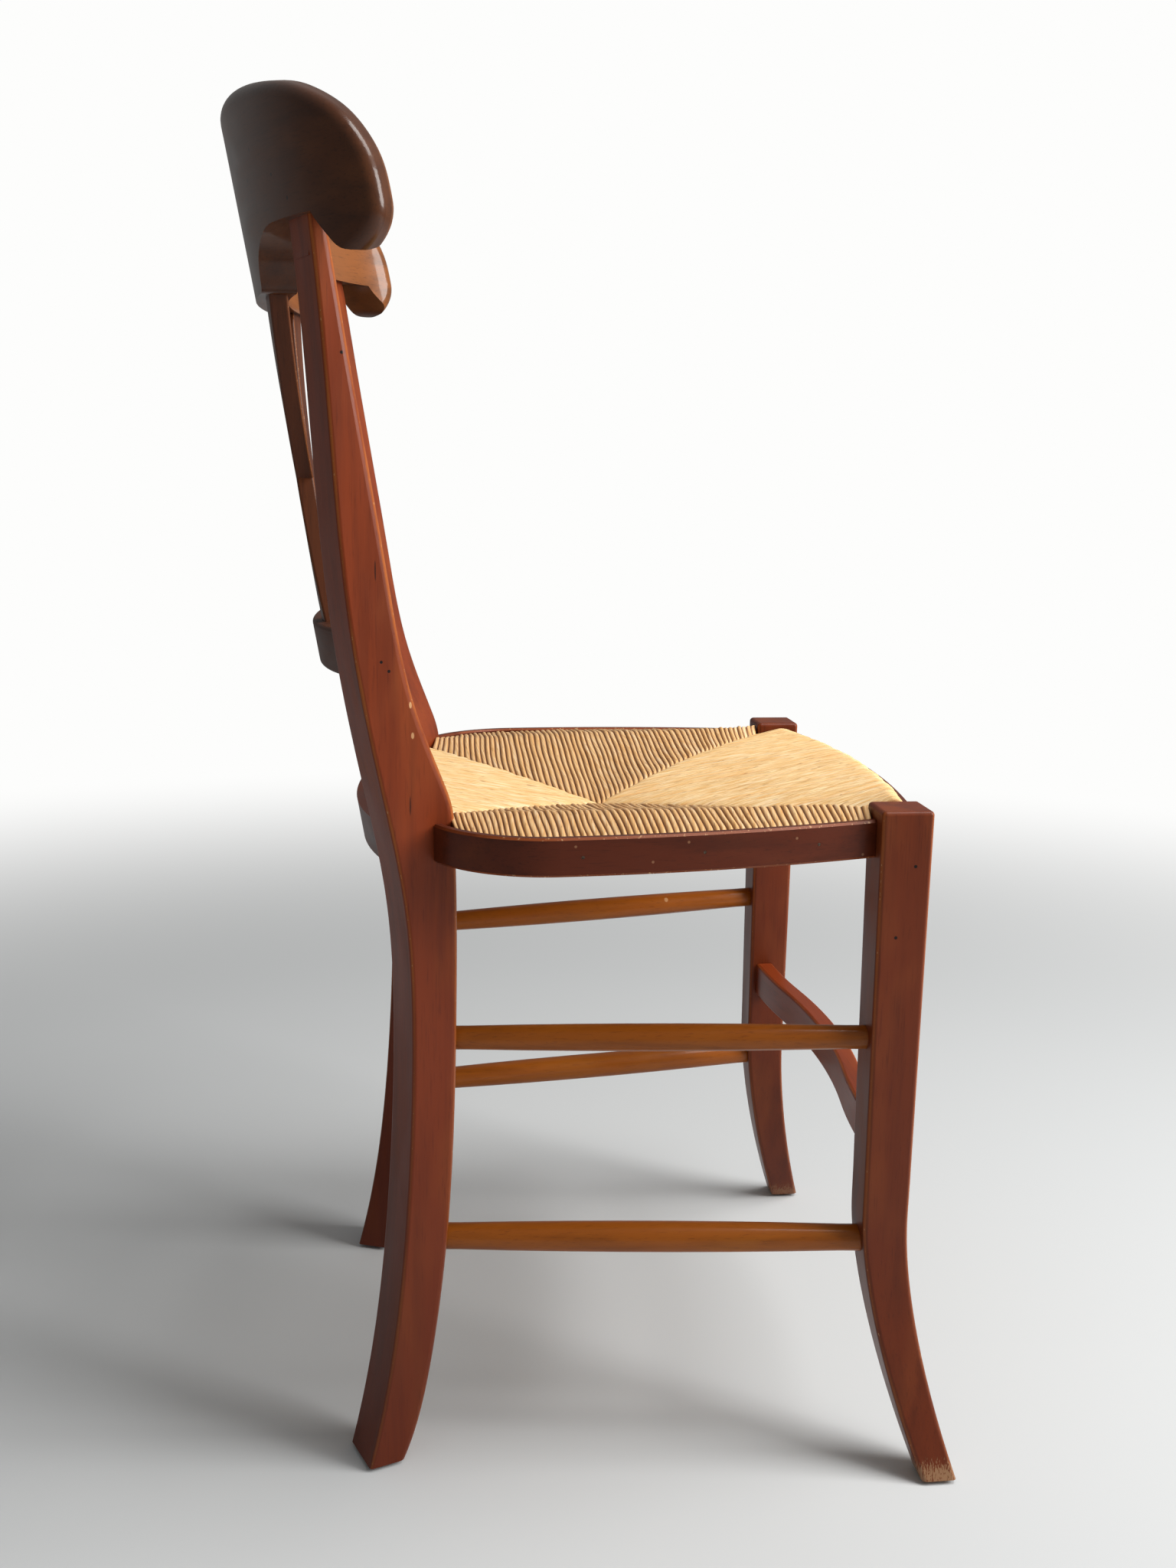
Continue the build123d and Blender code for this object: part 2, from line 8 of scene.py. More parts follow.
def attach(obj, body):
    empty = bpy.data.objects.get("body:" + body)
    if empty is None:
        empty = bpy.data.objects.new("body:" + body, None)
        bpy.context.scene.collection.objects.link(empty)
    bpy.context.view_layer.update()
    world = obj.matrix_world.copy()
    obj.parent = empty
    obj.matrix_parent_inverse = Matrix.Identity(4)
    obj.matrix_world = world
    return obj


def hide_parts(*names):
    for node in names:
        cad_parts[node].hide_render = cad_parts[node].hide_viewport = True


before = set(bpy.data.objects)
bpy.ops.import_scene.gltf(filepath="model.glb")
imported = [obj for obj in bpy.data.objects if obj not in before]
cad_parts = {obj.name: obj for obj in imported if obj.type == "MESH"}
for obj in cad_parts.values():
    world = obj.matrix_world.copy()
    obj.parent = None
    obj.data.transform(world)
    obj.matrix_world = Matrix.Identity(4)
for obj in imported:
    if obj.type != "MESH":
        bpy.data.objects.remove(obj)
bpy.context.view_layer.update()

# A dining chair of stained, varnished beech with a seat of twisted rush. The shared frame is in metres, +Z
# is up, and the sitter faces -Y. Seat sizes below are in millimetres, from the point between the feet that
# the part's source measures from, which lies this far in front of the frame's own centre.
MM = 0.001
centre_y = 34.875

# Seat plan inside the edge strips: (centre x, centre y, radius) of the long side curve, of the tight rear
# corner, which the cords follow back to its reach, of the front curve and of the back curve
side_curve = (-599.0, 66.0, 802.85)
corner_curve = (126.0, 66.0, 77.85)
corner_reach = 77.0
front_curve = (0.0, 679.0, 863.85)
back_curve = (0.0, -235.0, 420.0)

# Where the four woven panels meet: the inner corners at the front legs and rear posts, the middle, and the
# valleys' (height at the corner, swell between corner and middle). The right front valley is worn flatter.
front_corner = (160.0, -143.0)
rear_corner = (127.0, 137.0)
middle_y = 14.2
middle_level = 427.0
front_valley = (450.8, 1.0)
right_front_swell = 0.3
rear_valley = (446.8, 0.35)

# Underside of the rush: at the rails, where it falls to the rear by this much a millimetre, and at the middle
rim_under = 425.5
seat_fall = 0.0131
under_level = 415.0

# Side panels: how far the cords stop short of the corners at front and rear, where the cords crown and how
# high, by y, the rim's height and its (drop, y where it starts, run) towards the rear, how the cords fan
# round to the rear post, by (most shift, y where it starts, run), and the sag of their climb
side_ends = (0.8, 0.6)
side_crown_x = ((-137, 22, 122), (157, 152, 143))
side_crown_level = ((-137, -60, 22, 80, 122), (458.2, 456.4, 454.8, 453.0, 452.4))
side_edge = 449.8
side_edge_drop = (1.0, 20.0, 40.0)
side_fan = (7.0, 60.0, 77.0)
side_bow = 0.35

# Front and rear panels: how far the cords stop short of the corners, the crown's (height in the middle,
# change out to the corners, tilt across the chair), the rim's height, the crown's distance from the rim, how
# far the rear cords fan out, and the sag of the climb
front_ends = 0.8
front_crown = (460.0, -1.2, -0.018)
front_edge = 453.2
front_roll = 9.0
rear_ends = 2.5
rear_crown = (448.2, 2.0, 0.0)
rear_edge = 443.0
rear_roll = 13.0
rear_fan = 0.06
end_bow = -0.12

# Where a panel narrows to its corners, the crown stays at least this share of the way from the valley on the
# side panels, and at most this share of the way from the rim on the other two
crown_share = 0.45

# Cords: their pitch and its unevenness, the depth of the grooves between their half-round ridges, how much
# higher some ridges stand, their ripple by (height, length, spread of the starts), their sideways waves by
# (reach, length along, length across, start), and how finely they are sampled across and along
cord_pitch = 4.3
cord_unevenness = 0.22
cord_groove = 1.75
ridge_spread = 0.9
ridge_ripple = (0.25, 13.0, 20.0)
cord_waves = ((0.45, 31.0, 17.0, 0.0), (0.3, 11.0, -23.0, 2.0))
cord_samples = 8
path_samples = 72

# A cord's path: (distance from the valley, height above it) where it comes up from under its neighbours,
# shares of the climb to the crown, (share of the way, share of the drop) from the crown to the rim on the
# side panels and on the other two, the fall below the rim's edge, (distance in from the rim, height) round
# the underside's edge, shares of the way back, and the turn up into the valley
valley_rise = ((-1.2, -8.0), (-1.2, -3.5), (0.5, -0.4))
climb = (0.08, 0.22, 0.4, 0.58, 0.76, 0.9, 1.0)
side_shoulder = ((0.35, 0.42), (0.75, 0.82), (0.97, 0.99))
end_shoulder = ((0.4, 0.12), (0.8, 0.45), (0.98, 0.85))
edge_fall = 5.0
under_turn = ((0.0, 6.0), (0.6, 1.0), (6.0, -0.4))
way_back = (0.75, 0.5, 0.25)
belly_rise = ((0.5, 0.3), (-1.2, 3.5))

# Painted shade on the cords: its share on the ridges, and more of it down to the grooves; the side panels,
# whose cords run across the light, get more
side_cord_shade = (0.22, 0.9)
end_cord_shade = (0.0, 0.5)

# The same uneven cords on every run
rng = np.random.default_rng(7)


# Rush seat


def smooth_path(controls, count):
    """Uniform cubic B-spline for all cords at once: controls[k] holds the k-th control point of every cord,
    and each of count points is a weighted sum of four neighbours, with the end points repeated."""
    ends = np.concatenate([controls[:1], controls[:1], controls, controls[-1:], controls[-1:]])
    at = np.linspace(0, len(ends) - 3 - 1e-9, count)
    first = at.astype(int)
    t = (at - first)[:, None, None]
    weights = ((1 - t) ** 3, 3 * t**3 - 6 * t**2 + 4, -3 * t**3 + 3 * t**2 + 3 * t + 1, t**3)
    return sum(weight * ends[first + k] for k, weight in enumerate(weights)) / 6


def cord_rows(low, high):
    """Positions across a panel: cords of slightly uneven width between low and high, each sampled from groove
    to groove. Gives the positions, the place within each cord from 0 to 1, and the cord's number."""
    count = round((high - low) / cord_pitch)
    edges = np.cumsum(np.concatenate([[0], 1 + cord_unevenness * (rng.random(count) - 0.5)]))
    edges = low + (high - low) * edges / edges[-1]
    number = np.append(np.repeat(np.arange(count), cord_samples), count - 1)
    within = np.append(np.tile(np.arange(cord_samples) / cord_samples, count), 1.0)
    return edges[number] + (edges[number + 1] - edges[number]) * within, within, number


def cord_paths(start, rim, crown, levels, bow, shoulder):
    """Paths of a panel's cords as control points: up out of the valley at start, over a crown at that share
    of the way to the rim, round the rail, and back along the underside. levels are the heights of valley,
    crown, rim, underside at the rim and underside at the valley; bow sags the climb from the valley to the
    crown, and shoulder gives (share of the way, share of the drop) from the crown to the rim."""
    valley, top, edge, under, belly = levels
    run = np.hypot(*(rim - start).T)
    rows = [(along / run, valley + height) for along, height in valley_rise]
    rows += [(crown * t, valley + (top - valley) * (t + bow * t * (t - 1))) for t in climb]
    rows += [(crown + (1 - crown) * share, top + (edge - top) * drop) for share, drop in shoulder]
    rows.append((np.ones_like(run), edge - edge_fall))
    rows += [(1 - inwards / run, under + height) for inwards, height in under_turn]
    rows += [(np.full_like(run, t), under + (belly - under) * (1 - t)) for t in way_back]
    rows += [(along / run, belly + height) for along, height in belly_rise]
    return np.stack([np.column_stack([start + (rim - start) * share[:, None], z]) for share, z in rows])


def woven_panel(name, controls, within, number, cord_shade):
    """One panel as a closed mesh: rings of points along each cord, the cords side by side. Every point is
    moved along the surface normal by the cord's half-round section, less a small random share, and sideways
    by two slow waves, so that no cord lies quite straight. The last argument gives the painted shade between
    the cords: its share on the ridges, and what is added to it down to the grooves."""
    base = smooth_path(controls, path_samples)
    length = np.linalg.norm(np.diff(base, axis=0, prepend=base[:1]), axis=2).cumsum(axis=0)
    along = np.gradient(base, axis=0)
    across = np.gradient(base, axis=1)
    across /= np.linalg.norm(across, axis=2, keepdims=True)
    normal = np.cross(along, across)
    normal /= np.linalg.norm(normal, axis=2, keepdims=True)
    # A third of the way along, the cords are on top of the seat, where the outer side is the upper one
    side = np.sign(normal[path_samples // 3, :, 2].mean())
    tone = rng.random(number.max() + 1)[number]
    groove = 1 - np.sqrt(1 - (2 * within - 1) ** 2)
    ripple, ripple_length, ripple_spread = ridge_ripple
    ripples = ripple * np.sin(length / ripple_length + ripple_spread * tone)
    bulge = (ridge_spread * (tone - 0.5) + ripples) * np.sin(pi * within)
    place = np.arange(len(number)) * cord_pitch / cord_samples
    wave = sum(
        reach * np.sin(length / along_wave + place / across_wave + first)
        for reach, along_wave, across_wave, first in cord_waves
    )
    points = base + normal * side * (bulge - cord_groove * groove)[:, :, None] + across * wave[:, :, None]
    points = (points - (0, centre_y, 0)) * MM

    rings, cords = points.shape[:2]
    index = np.arange(rings * cords).reshape(rings, cords)
    after = np.roll(index, -1, axis=0)
    quads = np.stack([index[:, :-1], after[:, :-1], after[:, 1:], index[:, 1:]], axis=-1).reshape(-1, 4)
    caps = [index[::-1, 0].tolist(), index[:, -1].tolist()]
    faces = quads.tolist() + caps
    if side < 0:
        faces = [face[::-1] for face in faces]
    mesh = bpy.data.meshes.new(name)
    mesh.from_pydata(points.reshape(-1, 3).tolist(), [], faces)
    mesh.polygons.foreach_set("use_smooth", np.ones(len(faces), bool))
    # Besides its tone, each point carries its share of the painted shade between the cords
    for label, values in (("tone", tone), ("cord_shade", cord_shade[0] + cord_shade[1] * groove)):
        layer = mesh.attributes.new(label, "FLOAT", "POINT")
        layer.data.foreach_set("value", np.tile(values, rings).astype(np.float32))
    lay = np.stack([np.broadcast_to(place, length.shape), length], axis=-1).reshape(-1, 2) * MM
    corner = np.zeros(len(mesh.loops), np.int32)
    mesh.loops.foreach_get("vertex_index", corner)
    mesh.uv_layers.new(name="cord_lay").data.foreach_set("uv", lay[corner].astype(np.float32).ravel())
    mesh.update()
    panel = bpy.data.objects.new(name, mesh)
    bpy.context.scene.collection.objects.link(panel)
    return panel


def on_curve(curve, offset, side):
    """Distance of a plan curve from its centre, at this offset from it the other way, by Pythagoras."""
    return side * np.sqrt(curve[2] ** 2 - offset**2)


def valley_level(out, corner_level, swell):
    """Height of the valley between two panels, from the middle, where out is 0, to the corner, where it is 1:
    a straight climb, which swell lifts between its ends."""
    return middle_level + (corner_level - middle_level) * (out + swell * out * (1 - out))


def under_levels(rim_y, out):
    """Heights of the underside: at the rim, on the seat's fall, and at the valley, lower to the middle."""
    under = rim_under - seat_fall * rim_y
    return under, under + (under_level - under) * (1 - out)


def side_panel(name, side):
    """Panel whose cords run across the chair, from the two valleys out over a side rail; towards the rear
    post the cords fan round with it. side is 1 for the left and -1 for the right."""
    front_end, rear_end = side_ends
    y, within, number = cord_rows(front_corner[1] + front_end, rear_corner[1] - rear_end)
    front = (middle_y - y) / (middle_y - front_corner[1])
    rear = (y - middle_y) / (rear_corner[1] - middle_y)
    out = np.where(front > 0, front, rear)
    x = np.where(front > 0, front_corner[0] * front, rear_corner[0] * rear)
    shift, fan_start, fan_run = side_fan
    rim_y = y - shift * np.clip((y - fan_start) / fan_run, 0, 1) ** 2
    long_x = side_curve[0] + on_curve(side_curve, rim_y - side_curve[1], 1)
    tight_x = corner_curve[0] + on_curve(corner_curve, np.clip(rim_y - corner_curve[1], 0, corner_reach), 1)
    rim_x = np.where(rim_y < corner_curve[1], long_x, tight_x)
    crown_x = np.maximum(np.interp(y, *side_crown_x), x + crown_share * (rim_x - x))
    corner, swell = front_valley
    fore = valley_level(out, corner, swell if side > 0 else right_front_swell)
    valley = np.where(front > 0, fore, valley_level(out, *rear_valley))
    top = np.interp(y, *side_crown_level)
    drop, drop_start, drop_run = side_edge_drop
    edge = side_edge - seat_fall * rim_y - drop * np.clip((rim_y - drop_start) / drop_run, 0, 1)
    start = np.column_stack([side * x, y])
    rim = np.column_stack([side * rim_x, rim_y])
    levels = (valley, top, edge, *under_levels(rim_y, out))
    controls = cord_paths(start, rim, (crown_x - x) / (rim_x - x), levels, side_bow, side_shoulder)
    return woven_panel(name, controls, within, number, side_cord_shade)


def end_panel(name, start, rim, out, valley, crown, edge, roll, rows):
    """Front or rear panel, from its cords' starts along the valleys and their ends at the rim. The crown lies
    roll inside the rim; crown gives its height in the middle, its change out to the corners, which grows with
    the square of the distance, and its tilt across the chair."""
    x, within, number = rows
    level, change, tilt = crown
    run = np.abs(rim[:, 1] - start[:, 1])
    top = level + change * out**2 + tilt * x
    levels = (valley, top, np.full_like(x, edge), *under_levels(rim[:, 1], out))
    share = 1 - np.minimum(roll / run, crown_share)
    controls = cord_paths(start, rim, share, levels, end_bow, end_shoulder)
    return woven_panel(name, controls, within, number, end_cord_shade)


def front_panel(name):
    """Panel whose cords run from the middle forwards over the front rail, between the front legs."""
    rows = cord_rows(-front_corner[0] + front_ends, front_corner[0] - front_ends)
    x = rows[0]
    out = np.abs(x) / front_corner[0]
    start = np.column_stack([x, middle_y + (front_corner[1] - middle_y) * out])
    rim = np.column_stack([x, front_curve[1] + on_curve(front_curve, x, -1)])
    corner, swell = front_valley
    valley = valley_level(out, corner, np.where(x > 0, swell, right_front_swell))
    return end_panel(name, start, rim, out, valley, front_crown, front_edge, front_roll, rows)


def rear_panel(name):
    """Panel whose cords run from the middle back over the rear rail, fanning out between the rear posts."""
    rows = cord_rows(-rear_corner[0] + rear_ends, rear_corner[0] - rear_ends)
    x = rows[0]
    out = np.abs(x) / rear_corner[0]
    start = np.column_stack([x, middle_y + (rear_corner[1] - middle_y) * out])
    rim_x = x * (1 + rear_fan * out**2)
    rim = np.column_stack([rim_x, back_curve[1] + on_curve(back_curve, rim_x, 1)])
    valley = valley_level(out, *rear_valley)
    return end_panel(name, start, rim, out, valley, rear_crown, rear_edge, rear_roll, rows)


# Materials


def paint(hex_value):
    """Linear colour of an sRGB hex value."""
    parts = [int(hex_value[k:k + 2], 16) / 255 for k in (1, 3, 5)]
    return [c / 12.92 if c <= 0.04045 else ((c + 0.055) / 1.055) ** 2.4 for c in parts] + [1.0]


def add(tree, kind, settings, inputs):
    """Adds one node with its settings; each input is given a value or another node's output."""
    node = tree.nodes.new("ShaderNode" + kind)
    for key, value in settings.items():
        setattr(node, key, value)
    for key, value in inputs.items():
        if isinstance(value, bpy.types.NodeSocket):
            tree.links.new(value, node.inputs[key])
        else:
            node.inputs[key].default_value = value
    return node


def start_material(name):
    """Empty material, and the node tree to fill."""
    material = bpy.data.materials.new(name)
    material.use_nodes = True
    tree = material.node_tree
    tree.nodes.clear()
    return material, tree


def streaks(tree, coords, across, along, detail):
    """Noise drawn out along the third axis: so many millimetres across and along the grain."""
    scale = (1 / (across * MM), 1 / (across * MM), 1 / (along * MM))
    spread = add(tree, "Mapping", {}, {"Vector": coords, "Scale": scale})
    inputs = {"Vector": spread.outputs[0], "Scale": 1.0, "Detail": detail}
    inputs |= {"Roughness": 0.6, "Distortion": 0.25}
    return add(tree, "TexNoise", {"noise_dimensions": "3D"}, inputs).outputs["Fac"]


def spots(tree, coords, points, radius, length=1):
    """1 within radius of any of the points, fading to 0 at one and a half times that; length times as long as
    wide along the third axis."""
    squeeze = (1, 1, 1 / length)
    squeezed = add(tree, "Mapping", {}, {"Vector": coords, "Scale": squeeze}).outputs[0]
    nearest = 1.0
    for point in points:
        inputs = {0: squeezed, 1: [p * share * MM for p, share in zip(point, squeeze)]}
        far = add(tree, "VectorMath", {"operation": "DISTANCE"}, inputs).outputs["Value"]
        nearest = add(tree, "Math", {"operation": "MINIMUM"}, {0: nearest, 1: far}).outputs[0]
    inputs = {0: nearest, 1: radius * MM, 2: 1.5 * radius * MM, 3: 1.0, 4: 0.0}
    return add(tree, "MapRange", {}, inputs).outputs[0]


def lay_coats(tree, ground, coats):
    """Colour of a ground with coats laid over it in turn. Each coat is its colour, the value it follows, that
    value where the coat starts and where it is full, and the share of what lies below that the full coat
    hides."""
    colour = paint(ground)
    for coat, follows, start, full, hides in coats:
        inputs = {0: follows, 1: start, 2: full, 3: 0.0, 4: hides}
        share = add(tree, "MapRange", {"interpolation_type": "SMOOTHSTEP"}, inputs).outputs[0]
        colour = add(tree, "Mix", {"data_type": "RGBA"}, {0: share, 6: colour, 7: paint(coat)}).outputs[2]
    return colour


def stained_beech(
    name, tones, turn, roughness=0.38, varnish=0.04, edges=True, bend=None, painted_foot_shade=0.0, toe=0.0, wear=()
):
    """Stained and varnished beech. Beech is close-grained: short dark flecks along the grain, drawn longer
    than real ones so that they show, broad soft bands of growth and stain, arrises where the stain is rubbed
    thin, and a satin varnish. tones are the dark, the body and the rubbed colour, which also paints light;
    turn, in degrees, brings the grain to the third axis. A bent piece has its grain round the bend, whose
    centre line lies at y = bend, and its hollow face, which faces the lamps, is painted in the rubbed colour
    as painted light. A share of painted shade darkens the wood towards the floor, and toe scuffs its tip;
    wear lists worm holes, cracks along the grain, chips and nicks."""
    dark, body, rubbed_and_lit = tones
    material, tree = start_material(name)
    place = add(tree, "TexCoord", {}, {}).outputs["Object"]
    facing = add(tree, "NewGeometry", {}, {}).outputs["Normal"]
    axes = add(tree, "SeparateXYZ", {}, {0: place})
    if bend is None:
        spin = [radians(angle) for angle in turn]
        grain = add(tree, "Mapping", {}, {"Vector": place, "Rotation": spin}).outputs[0]
    else:
        back = add(tree, "Math", {"operation": "SUBTRACT"}, {0: axes.outputs[1], 1: bend * MM}).outputs[0]
        angle = add(tree, "Math", {"operation": "ARCTAN2"}, {0: axes.outputs[0], 1: back}).outputs[0]
        around = add(tree, "Math", {"operation": "MULTIPLY"}, {0: angle, 1: bend_reach}).outputs[0]
        plan = add(tree, "CombineXYZ", {}, {0: axes.outputs[0], 1: back, 2: 0.0}).outputs[0]
        away = add(tree, "VectorMath", {"operation": "LENGTH"}, {0: plan}).outputs["Value"]
        grain = add(tree, "CombineXYZ", {}, {0: away, 1: axes.outputs[2], 2: around}).outputs[0]
    bands = streaks(tree, grain, across=13, along=260, detail=3.0)
    flecks = streaks(tree, grain, across=1.0, along=22, detail=2.0)
    blotch = streaks(tree, grain, across=40, along=110, detail=2.0)
    coats = [
        (dark, bands, 0.42, 0.72, 0.4),
        (rubbed_and_lit, blotch, 0.48, 0.75, 0.2),
        (dark, flecks, 0.55, 0.72, 0.36),
    ]
    if bend is not None:
        outwards = add(tree, "VectorMath", {"operation": "NORMALIZE"}, {0: plan}).outputs[0]
        inputs = {0: facing, 1: outwards}
        lit_hollow_face = add(tree, "VectorMath", {"operation": "DOT_PRODUCT"}, inputs).outputs["Value"]
        # Painted light: the hollow face, which faces the lamps, is painted in the paler rubbed tone
        coats.insert(0, (rubbed_and_lit, lit_hollow_face, -0.35, -0.75, 0.85))
    elif edges:
        square = add(tree, "Mapping", {}, {"Vector": facing, "Rotation": spin}).outputs[0]
        lean = add(tree, "VectorMath", {"operation": "ABSOLUTE"}, {0: square}).outputs[0]
        both = add(tree, "SeparateXYZ", {}, {0: lean}).outputs
        arris = add(tree, "Math", {"operation": "MINIMUM"}, {0: both[0], 1: both[1]}).outputs[0]
        rub = add(tree, "Math", {"operation": "MULTIPLY"}, {0: arris, 1: bands}).outputs[0]
        chips = streaks(tree, place, across=2.2, along=2.6, detail=2.0)
        chip = add(tree, "Math", {"operation": "MULTIPLY"}, {0: arris, 1: chips}).outputs[0]
        coats += [(rubbed_and_lit, rub, 0.14, 0.4, 0.8), (chip_pale, chip, 0.43, 0.47, 0.7)]
    if painted_foot_shade:
        # Painted shade: the wood is painted darker towards the floor, where less light reaches it
        coats.append((dark, axes.outputs[2], *foot_shade, painted_foot_shade))
    if toe:
        inputs = {0: axes.outputs[2], 1: toe_scuff[0], 2: toe_scuff[1], 3: 0.0, 4: 1.0}
        tip = add(tree, "MapRange", {}, inputs).outputs[0]
        scuff = add(tree, "Math", {"operation": "MULTIPLY"}, {0: tip, 1: flecks}).outputs[0]
        coats.append((scuff_pale, scuff, 0.3, 0.5, toe))
    for mark, points, radius, length, hides in wear:
        coats.append((mark, spots(tree, place, points, radius, length), 0.0, 1.0, hides))
    colour = lay_coats(tree, body, coats)
    inputs = {0: blotch, 1: 0.3, 2: 0.7, 3: roughness - 0.05, 4: roughness + 0.09}
    rough = add(tree, "MapRange", {}, inputs).outputs[0]
    relief = add(tree, "Bump", {}, {"Height": flecks, "Strength": 0.12, "Distance": 0.3 * MM}).outputs[0]
    inputs = {"Base Color": colour, "Roughness": rough, "Normal": relief, "IOR": 1.5}
    inputs |= {"Specular IOR Level": 0.2, "Coat Weight": varnish, "Coat Roughness": 0.08}
    shader = add(tree, "BsdfPrincipled", {}, inputs)
    add(tree, "OutputMaterial", {}, {0: shader.outputs[0]})
    return material


def twisted_rush():
    """Twisted bulrush cord. Dried leaves wound into a cord: pale straw with fine streaks that slant with the
    twist, each cord of its own tone, painted brown shade down in the grooves, dull and slightly waxy."""
    material, tree = start_material("twisted_rush")
    lay = add(tree, "UVMap", {"uv_map": "cord_lay"}, {}).outputs[0]
    tone = add(tree, "Attribute", {"attribute_name": "tone"}, {}).outputs["Fac"]
    cord_shade = add(tree, "Attribute", {"attribute_name": "cord_shade"}, {}).outputs["Fac"]
    twist = (0, 0, radians(twist_slant))
    slant = add(tree, "Mapping", {}, {"Vector": lay, "Rotation": twist}).outputs[0]
    turned = add(tree, "Mapping", {}, {"Vector": slant, "Rotation": (radians(90), 0, 0)}).outputs[0]
    fibres = streaks(tree, turned, across=0.8, along=30, detail=2.0)
    patches = streaks(tree, turned, across=5, along=60, detail=2.0)
    cracks = streaks(tree, turned, across=1.2, along=14, detail=1.0)
    coats = [
        ("#fbe3b2", fibres, 0.35, 0.68, 1.0),
        ("#e3b878", tone, 0.0, 1.0, 0.45),
        ("#fdf0cf", patches, 0.5, 0.75, 0.5),
        ("#8a5a2c", cracks, 0.62, 0.72, 0.6),
        # The last two coats are painted shade: browner on the cords, and darkest down in the grooves
        ("#b57540", cord_shade, 0.0, 0.5, 0.62),
        ("#55290f", cord_shade, 0.28, 1.0, 0.94),
    ]
    colour = lay_coats(tree, "#dcae6c", coats)
    relief = add(tree, "Bump", {}, {"Height": fibres, "Strength": 0.35, "Distance": 0.4 * MM}).outputs[0]
    inputs = {"Base Color": colour, "Roughness": 0.62, "Normal": relief, "IOR": 1.45}
    shader = add(tree, "BsdfPrincipled", {}, inputs)
    add(tree, "OutputMaterial", {}, {0: shader.outputs[0]})
    return material


def bare_beech():
    """Planed beech without finish, on the rails inside the rush: pale pinkish tan, fine flecks, dull."""
    material, tree = start_material("bare_beech")
    place = add(tree, "TexCoord", {}, {}).outputs["Object"]
    flecks = streaks(tree, place, across=2, along=20, detail=2.0)
    colour = lay_coats(tree, "#b98a5f", [("#cda578", flecks, 0.4, 0.65, 1.0)])
    shader = add(tree, "BsdfPrincipled", {}, {"Base Color": colour, "Roughness": 0.7})
    add(tree, "OutputMaterial", {}, {0: shader.outputs[0]})
    return material


def dulled_iron():
    """Iron brads, browned by the varnish over them: dark metal with a mottled, half-dull surface."""
    material, tree = start_material("dulled_iron")
    place = add(tree, "TexCoord", {}, {}).outputs["Object"]
    mottle = streaks(tree, place, across=0.7, along=0.7, detail=2.0)
    colour = lay_coats(tree, "#3a2a22", [("#6b5a4c", mottle, 0.35, 0.7, 1.0)])
    rough = add(tree, "MapRange", {}, {0: mottle, 1: 0.3, 2: 0.7, 3: 0.35, 4: 0.6}).outputs[0]
    shader = add(tree, "BsdfPrincipled", {}, {"Base Color": colour, "Metallic": 0.8, "Roughness": rough})
    add(tree, "OutputMaterial", {}, {0: shader.outputs[0]})
    return material


def moulded_polyethylene():
    """Moulded polyethylene glides: brown, waxy, finely scratched by the floor."""
    material, tree = start_material("moulded_polyethylene")
    place = add(tree, "TexCoord", {}, {}).outputs["Object"]
    scratch = streaks(tree, place, across=0.6, along=6, detail=2.0)
    colour = lay_coats(tree, "#3b2a20", [("#5c4838", scratch, 0.5, 0.75, 1.0)])
    rough = add(tree, "MapRange", {}, {0: scratch, 1: 0.3, 2: 0.7, 3: 0.38, 4: 0.6}).outputs[0]
    shader = add(tree, "BsdfPrincipled", {}, {"Base Color": colour, "Roughness": rough, "IOR": 1.51})
    add(tree, "OutputMaterial", {}, {0: shader.outputs[0]})
    return material


# Dark, body and rubbed tone of each stain, the rubbed tone also being painted light on the hollow faces of
# bent pieces, and the bare wood that shows at chips, scuffs and nicks
post_brown = ("#45190a", "#7d3314", "#ad5f2a")
leg_brown = ("#3d180a", "#6b2c12", "#a05628")
strip_brown = ("#2b0f08", "#582411", "#8c4620")
crest_brown = ("#231007", "#4a2610", "#8d5429")
slat_brown = ("#26120a", "#522914", "#7e4824")
honey = ("#5a2a09", "#965012", "#b87320")
chip_pale = "#c89a6c"
scuff_pale = "#9c7a5a"

# Metres above the floor between which painted shade darkens the wood to the foot, and the toe's tip is
# scuffed
foot_shade = (0.42, 0.03)
toe_scuff = (0.03, 0.006)

# Degrees by which the fibres slant in the twist
twist_slant = 7

# Worm holes, cracks along the grain, chips and nicks, in millimetres in the shared frame: each kind of mark
# has its colour, its places, radius, length over width, and the share of the stain that it hides
hole_black = "#120906"
nick_pale = "#94694c"
crest_holes = [(-130.6, 215.8, 857.7), (-161.9, 200.9, 838.8), (-111.9, 218.6, 842.8), (-178.1, 191.0, 823.9)]
leg_holes = [(-195.3, -201.4, 423.7), (-195.0, -190.8, 376.0)]
strip_nicks = [
    (-210.9, 21.7, 443.8),
    (-208.9, -27.2, 432.8),
    (-206.9, -50.0, 444.8),
    (-196.4, -121.8, 443.8),
    (-186.0, -168.7, 430.0),
]
crest_wear = [(hole_black, crest_holes, 0.9, 1, 1.0)]
post_holes = [(-183.3, 161.1, 737.8), (-175.1, 139.8, 553.8), (-173.4, 135.1, 547.9)]
post_cracks = [(-176.3, 142.9, 610.0), (-168.5, 122.5, 461.5)]
post_chips = [(-168.1, 122.0, 526.0), (-167.8, 120.7, 506.5)]
post_wear = [
    (hole_black, post_holes, 0.8, 1, 1.0),
    (hole_black, post_cracks, 0.35, 14, 0.8),
    (chip_pale, post_chips, 0.8, 2, 0.8),
]
leg_wear = [(hole_black, leg_holes, 0.9, 1, 1.0)]
strip_wear = [(nick_pale, strip_nicks, 0.7, 1, 0.7)]
stretcher_wear = [(chip_pale, [(159.5, -101.7, 305.7)], 1.3, 1.5, 0.7)]

